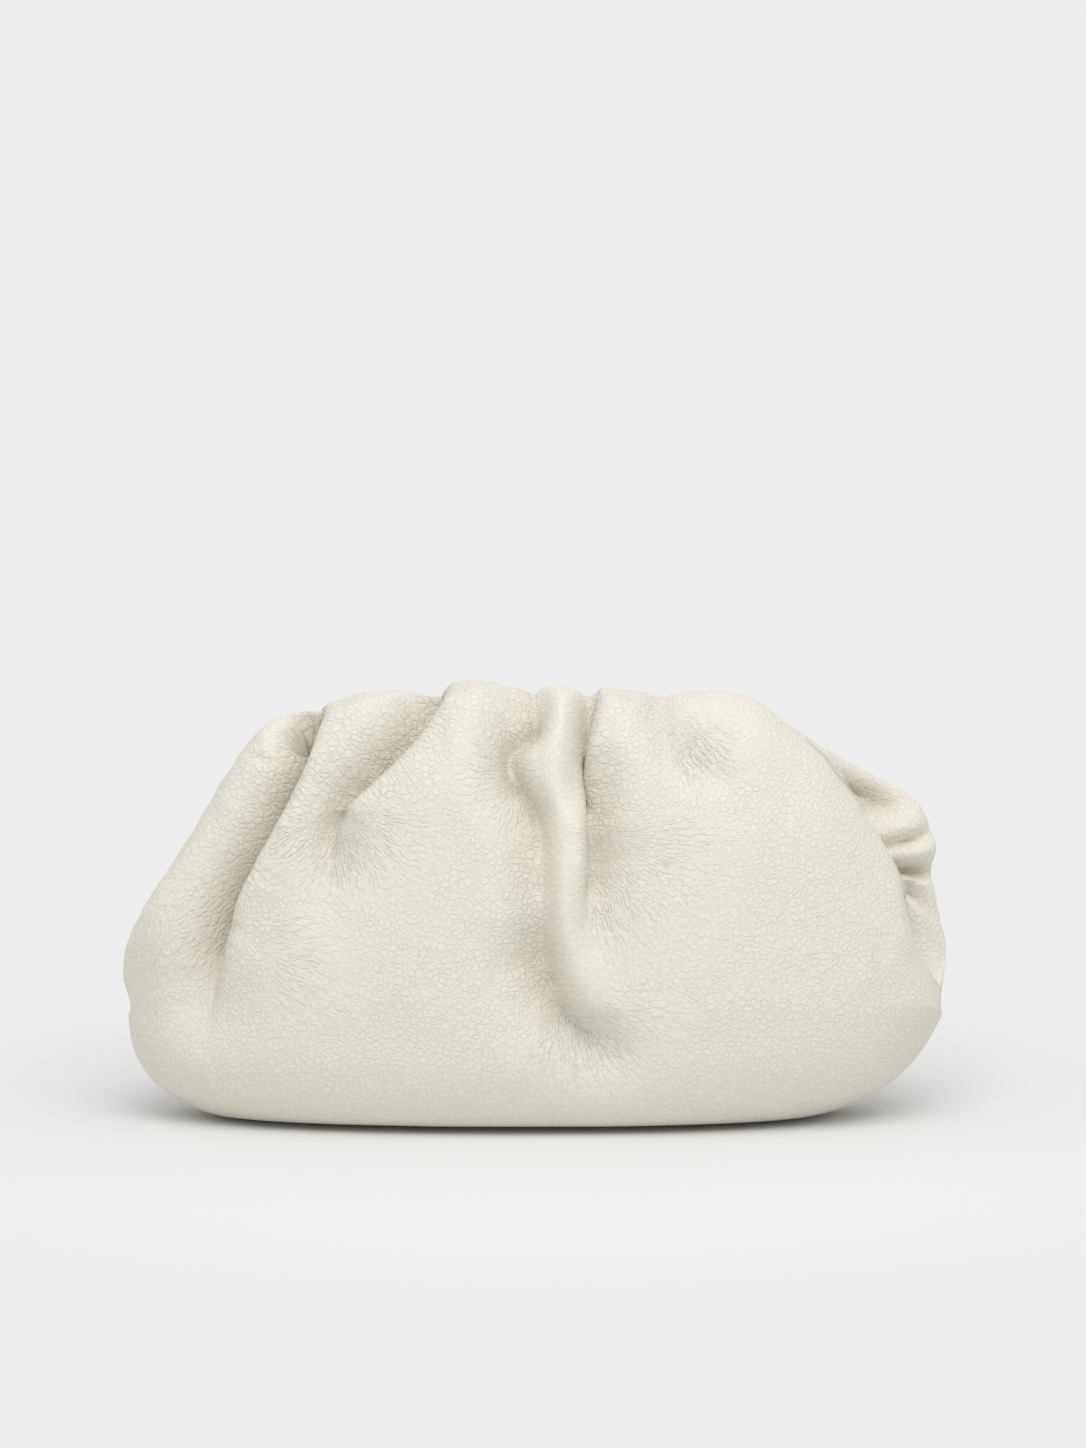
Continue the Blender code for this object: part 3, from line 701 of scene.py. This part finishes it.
tube_apart = np.full((row_count, column_count), np.inf)
for spot in smooth_curve(in_metres(SMOOTH_TUBE))[::TUBE_STRIDE]:
    tube_apart = np.minimum(tube_apart, np.hypot(*np.moveaxis(seen_places - spot, 2, 0)))
on_tube = np.exp(-(tube_apart / SMOOTH_REACH)**4) * on_front
low_down = smooth_step(1 - plain[:, :, 2] / LOW_HEIGHT)
grain_depth = PLAIN_GRAIN + CREASED_GRAIN * creased + FANNED_GRAIN * fan_share
grain_depth *= (1 - TUBE_FLATTENING * on_tube) * (1 - LOW_FLATTENING * low_down)
painted_shade = smooth_step(push / SHADE_DEPTH)
painted_shade = np.maximum(painted_shade, PLEAT_SHADING * smooth_step(-pleated * large_pleats / PLEAT_SHADE))
for name, values in (("painted_shade", painted_shade), ("fan_share", fan_share), ("grain_depth", grain_depth)):
    attribute = pouch_mesh.attributes.new(name, "FLOAT", "POINT")
    attribute.data.foreach_set("value", values.reshape(-1).astype(np.float32))
for name, values in (("hide_place", plain), ("fan_place", fan_place)):
    attribute = pouch_mesh.attributes.new(name, "FLOAT_VECTOR", "POINT")
    attribute.data.foreach_set("vector", values.reshape(-1).astype(np.float32))

# How many pebbles and how much unevenness lie in a metre, how many lines lie in a wrinkle, and how wide the
# seams are as a share of a pebble or a line. The fine ones lie within the large ones.
PEBBLES = 560.0
FINE_PEBBLES = 1250.0
UNEVEN_SCALE = 900.0
LINES = 1.0
FINE_LINES = 2.3
SEAM = 0.24
FINE_SEAM = 0.30
FINE_SHARE = 0.25
STRAY_SCALE = 240.0
PEBBLE_STRAY = (0.0020,) * 3
LINE_STRAY = (1.3,) * 3
UNEVEN_HEIGHT = 0.8
GRAIN_HEIGHT = 0.00021

SEAM_COLOUR = (0.764, 0.729, 0.638, 1.0)
PEBBLE_COLOUR = (0.817, 0.790, 0.714, 1.0)
# Painted shade: where the hide is pushed in or deeply pleated, its colour is mixed towards this darker tone
SHADE_COLOUR = (0.60, 0.56, 0.46, 1.0)
SHADE_STRENGTH = 0.3

hide = Finish("grained_leather", roughness=0.52, specular=0.35)
hide_place = hide.node("Attribute", {"attribute_name": "hide_place"}, {}).outputs["Vector"]
fan_at = hide.node("Attribute", {"attribute_name": "fan_place"}, {}).outputs["Vector"]
fanned = hide.level("Attribute", {"attribute_name": "fan_share"}, {}, "Fac")
depth = hide.level("Attribute", {"attribute_name": "grain_depth"}, {}, "Fac")
painted_shade_share = hide.level("Attribute", {"attribute_name": "painted_shade"}, {}, "Fac")
stray = hide.node("TexNoise", {}, {"Vector": hide_place, "Scale": STRAY_SCALE, "Detail": 2.0})
pebble_place = hide.node("VectorMath", {"operation": "MULTIPLY_ADD"},
                         {0: stray.outputs["Color"], 1: PEBBLE_STRAY, 2: hide_place}).outputs[0]
line_place = hide.node("VectorMath", {"operation": "MULTIPLY_ADD"},
                       {0: stray.outputs["Color"], 1: LINE_STRAY, 2: fan_at}).outputs[0]


def cells(vector, scale, seam):
    """Rounded cells with narrow seams between them, 0 in a seam and 1 on a cell."""
    edge = hide.level("TexVoronoi", {"feature": "DISTANCE_TO_EDGE"}, {"Vector": vector, "Scale": scale})
    return hide.level("MapRange", {"interpolation_type": "SMOOTHSTEP"}, {"Value": edge, "From Max": seam})


def grain(vector, scale, fine_scale):
    """Large cells with fine ones within them."""
    return cells(vector, scale, SEAM) * (1 - FINE_SHARE) + cells(vector, fine_scale, FINE_SEAM) * FINE_SHARE


pebbles = grain(pebble_place, PEBBLES, FINE_PEBBLES)
lines = grain(line_place, LINES, FINE_LINES)
relief = (pebbles * (1 - fanned) + lines * fanned) * depth
uneven = hide.level("TexNoise", {}, {"Vector": hide_place, "Scale": UNEVEN_SCALE, "Detail": 4.0})
bump = hide.node("Bump", {},
                 {"Height": relief + uneven * UNEVEN_HEIGHT, "Strength": 1.0, "Distance": GRAIN_HEIGHT})
hide.feed(hide.shader.inputs["Normal"], bump.outputs[0])
tone = hide.node("Mix", {"data_type": "RGBA"}, {0: pebbles, 6: SEAM_COLOUR, 7: PEBBLE_COLOUR})
# Painted shade: the grain's tone is darkened in the hollows and the large pleats, in place of their shade
shaded = hide.node("Mix", {"data_type": "RGBA"},
                   {0: painted_shade_share * SHADE_STRENGTH, 6: tone.outputs[2], 7: SHADE_COLOUR})
hide.feed(hide.shader.inputs["Base Color"], shaded.outputs[2])
pouch_mesh.materials.append(hide.material)
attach(pouch, "root")
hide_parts("leather_body")

# The closing frame. The real one is a steel bar bent into an arch, with a strip of smooth leather glued round
# it, and the gathers are fastened to it. It keeps its imported shape and only gets the look of its cover,
# whose pale colour is painted darker with the shade of the valley where the strip shows.
COVER_AND_SHADE_COLOUR = (0.60, 0.57, 0.48, 1.0)
COVER_GRAIN_SCALE = 900.0
COVER_GRAIN_HEIGHT = 0.0002
cover = Finish("smooth_leather", roughness=0.45, specular=0.4)
cover_place = cover.node("TexCoord", {}, {}).outputs["Object"]
cover_grain = cover.level("TexNoise", {}, {"Vector": cover_place, "Scale": COVER_GRAIN_SCALE, "Detail": 3.0})
cover_bump = cover.node("Bump", {},
                        {"Height": cover_grain, "Strength": 1.0, "Distance": COVER_GRAIN_HEIGHT})
cover.feed(cover.shader.inputs["Normal"], cover_bump.outputs[0])
cover.feed(cover.shader.inputs["Base Color"], COVER_AND_SHADE_COLOUR)
closing_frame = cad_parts["closure_frame"]
for material_slot in closing_frame.material_slots:
    material_slot.material = cover.material

# The plain studio floor: pale paper that fades into the surround away from the bag. It takes the shadow.
FLOOR_REACH = 3.0
FLOOR_SOLID = 0.13
FLOOR_GONE = 0.24
PAPER_COLOUR = (0.80, 0.80, 0.80, 1.0)
floor_corners = [(across * FLOOR_REACH, back * FLOOR_REACH, 0.0)
                 for across, back in ((-1, -1), (1, -1), (1, 1), (-1, 1))]
floor_mesh = bpy.data.meshes.new("studio_floor")
floor_mesh.from_pydata(floor_corners, [], [(0, 1, 2, 3)])
studio_floor = bpy.data.objects.new("studio_floor", floor_mesh)
bpy.context.scene.collection.objects.link(studio_floor)
paper = Finish("studio_paper", roughness=1.0, specular=0.0)
paper.feed(paper.shader.inputs["Base Color"], PAPER_COLOUR)
floor_place = paper.node("TexCoord", {}, {}).outputs["Object"]
from_bag = paper.node("VectorMath", {"operation": "LENGTH"}, {0: floor_place}).outputs["Value"]
faded = paper.level("MapRange", {"interpolation_type": "SMOOTHSTEP"},
                    {"Value": from_bag, "From Min": FLOOR_SOLID, "From Max": FLOOR_GONE})
clear = paper.node("BsdfTransparent", {}, {})
blended = paper.node("MixShader", {}, {0: faded, 1: paper.shader.outputs[0], 2: clear.outputs[0]})
paper.feed(paper.tree.nodes["Material Output"].inputs["Surface"], blended.outputs[0])
floor_mesh.materials.append(paper.material)

# The light: an even pale surround, which looks a little brighter than it shines, and one wide soft lamp above
# and in front of the bag
SURROUND = 0.847
SKY_LIGHT = 0.73
WHITE = (1.0, 1.0, 1.0, 1.0)
LAMP_PLACE = Vector((0.12, -0.85, 1.35))
LAMP_SIZE = 1.2
LAMP_POWER = 11.7
world = bpy.data.worlds.new("studio_surround")
world.use_nodes = True
sky = world.node_tree.nodes["Background"]
sky.inputs["Strength"].default_value = SKY_LIGHT
seen = world.node_tree.nodes.new("ShaderNodeBackground")
seen.inputs["Strength"].default_value = SURROUND
rays = world.node_tree.nodes.new("ShaderNodeLightPath")
chosen = world.node_tree.nodes.new("ShaderNodeMixShader")
for shade in (sky, seen):
    shade.inputs["Color"].default_value = WHITE
world.node_tree.links.new(rays.outputs["Is Camera Ray"], chosen.inputs[0])
world.node_tree.links.new(sky.outputs[0], chosen.inputs[1])
world.node_tree.links.new(seen.outputs[0], chosen.inputs[2])
world.node_tree.links.new(chosen.outputs[0], world.node_tree.nodes["World Output"].inputs["Surface"])
bpy.context.scene.world = world
bpy.context.scene.view_settings.view_transform = "Standard"

lamp_light = bpy.data.lights.new("key_lamp", "AREA")
lamp_light.size = LAMP_SIZE
lamp_light.energy = LAMP_POWER
lamp = bpy.data.objects.new("key_lamp", lamp_light)
lamp.location = LAMP_PLACE
towards_bag = Vector((0.0, 0.0, BAG_HEIGHT / 2)) - LAMP_PLACE
lamp.rotation_euler = towards_bag.to_track_quat("-Z", "Y").to_euler()
bpy.context.scene.collection.objects.link(lamp)

# The camera looks slightly down at the bag from a distance, as a product photograph does.
CAMERA_TILT = math.radians(6.5)
CAMERA_DISTANCE = 1.450
AIM_ACROSS = 0.0017
AIM_UP = 0.1089
PICTURE_LONG_SIDE = 0.404
SENSOR_MILLIMETRES = 36.0
camera_data = bpy.data.cameras.new("camera")
camera_data.sensor_width = SENSOR_MILLIMETRES
camera_data.lens = SENSOR_MILLIMETRES * CAMERA_DISTANCE / PICTURE_LONG_SIDE
camera = bpy.data.objects.new("camera", camera_data)
camera.location = (
    AIM_ACROSS,
    AIM_UP * math.sin(CAMERA_TILT) - CAMERA_DISTANCE * math.cos(CAMERA_TILT),
    AIM_UP * math.cos(CAMERA_TILT) + CAMERA_DISTANCE * math.sin(CAMERA_TILT),
)
camera.rotation_euler = (math.pi / 2 - CAMERA_TILT, 0.0, 0.0)
bpy.context.scene.collection.objects.link(camera)
bpy.context.scene.camera = camera
